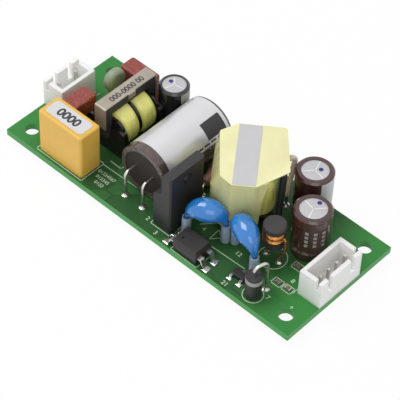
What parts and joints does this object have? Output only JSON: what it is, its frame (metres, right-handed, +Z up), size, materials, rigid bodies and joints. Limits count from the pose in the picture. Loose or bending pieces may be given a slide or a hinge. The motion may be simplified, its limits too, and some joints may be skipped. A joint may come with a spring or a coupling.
{
  "type": "open frame power supply",
  "caption": "Open frame mains power supply: a narrow green board with filter, transformer and capacitors standing on it, a header at each end and mounting holes at the corners.",
  "frame": {"origin": "centre of the rectangle of mounting holes, on the underside of the board", "axes": "+X along the board from the input header to the output header, +Y across it towards the back edge, +Z up from the board through the parts"},
  "size_m": [0.08, 0.0326, 0.0195],
  "materials": {
    "solder_mask": "glossy green solder mask over glass epoxy",
    "header_nylon": "natural white nylon, satin",
    "fuse_plastic": "brown-red moulded plastic, satin",
    "thermistor_coat": "dark dipped resin, satin",
    "yellow_box_plastic": "yellow moulded case, satin",
    "sticker_paper": "plain pale sticker",
    "tinned_wire": "bright tinned wire",
    "ferrite": "dark grey sintered ferrite, matt",
    "black_plastic": "black moulded plastic, satin",
    "yellow_tape": "pale yellow polyester tape, glossy",
    "clip_steel": "plain spring steel strip",
    "can_aluminium": "drawn aluminium, satin",
    "sleeve_black": "black shrink sleeve",
    "sleeve_grey": "grey shrink sleeve",
    "sleeve_brown": "brown shrink sleeve",
    "label_silver": "plain pale grey label",
    "rubber_bung": "black rubber, matt",
    "epoxy_black": "black moulded epoxy, matt",
    "blue_epoxy": "blue dipped epoxy coat, glossy",
    "clear_tube": "translucent plastic tube",
    "copper_wire": "enamelled copper wire",
    "resistor_coat": "pinkish brown resistor coat",
    "chip_ceramic": "chip parts, ceramic with tinned ends"
  },
  "bodies": {
    "root": {"bridge_rectifier": "epoxy_black", "bulk_capacitor_bung": "rubber_bung", "bulk_capacitor_can": "can_aluminium", "bulk_capacitor_label": "label_silver", "bulk_capacitor_leads": "tinned_wire", "bulk_capacitor_sleeve": "sleeve_grey", "choke_bobbin": "black_plastic", "choke_clip": "clip_steel", "choke_core": "ferrite", "choke_pins": "tinned_wire", "choke_windings": "yellow_tape", "circuit_board": "solder_mask", "clamp_diode_body": "epoxy_black", "clamp_diode_leads": "tinned_wire", "filter_capacitor_box": "yellow_box_plastic", "filter_capacitor_sticker": "sticker_paper", "front_output_capacitor_can": "can_aluminium", "front_output_capacitor_sleeve": "sleeve_brown", "input_header_housing": "header_nylon", "input_header_pins": "tinned_wire", "inrush_thermistor": "thermistor_coat", "line_fuse": "fuse_plastic", "neutral_fuse": "fuse_plastic", "opto_coupler_body": "epoxy_black", "opto_coupler_leads": "tinned_wire", "output_capacitor_bungs": "rubber_bung", "output_capacitor_leads": "tinned_wire", "output_header_housing": "header_nylon", "output_header_pins": "tinned_wire", "output_inductor_core": "ferrite", "output_inductor_winding": "copper_wire", "output_rectifier": "epoxy_black", "power_switch_body": "epoxy_black", "power_switch_leads": "tinned_wire", "rear_output_capacitor_can": "can_aluminium", "rear_output_capacitor_sleeve": "sleeve_brown", "regulator_body": "epoxy_black", "regulator_leads": "tinned_wire", "safety_capacitor_a": "blue_epoxy", "safety_capacitor_b": "blue_epoxy", "safety_capacitor_leads": "tinned_wire", "safety_capacitor_tubes": "clear_tube", "snubber_resistor": "resistor_coat", "supply_capacitor_bung": "rubber_bung", "supply_capacitor_can": "can_aluminium", "supply_capacitor_sleeve": "sleeve_black", "tinned_wire_leads": "tinned_wire", "top_chip_parts": "chip_ceramic", "transformer_bobbin": "black_plastic", "transformer_core": "ferrite", "transformer_fly_tube": "clear_tube", "transformer_fly_wire": "tinned_wire", "transformer_label": "label_silver", "transformer_lead_sleeve": "sleeve_black", "transformer_pins": "tinned_wire", "transformer_tape": "yellow_tape", "transformer_winding": "yellow_tape", "under_chip_parts": "chip_ceramic"}
  },
  "joints": []
}
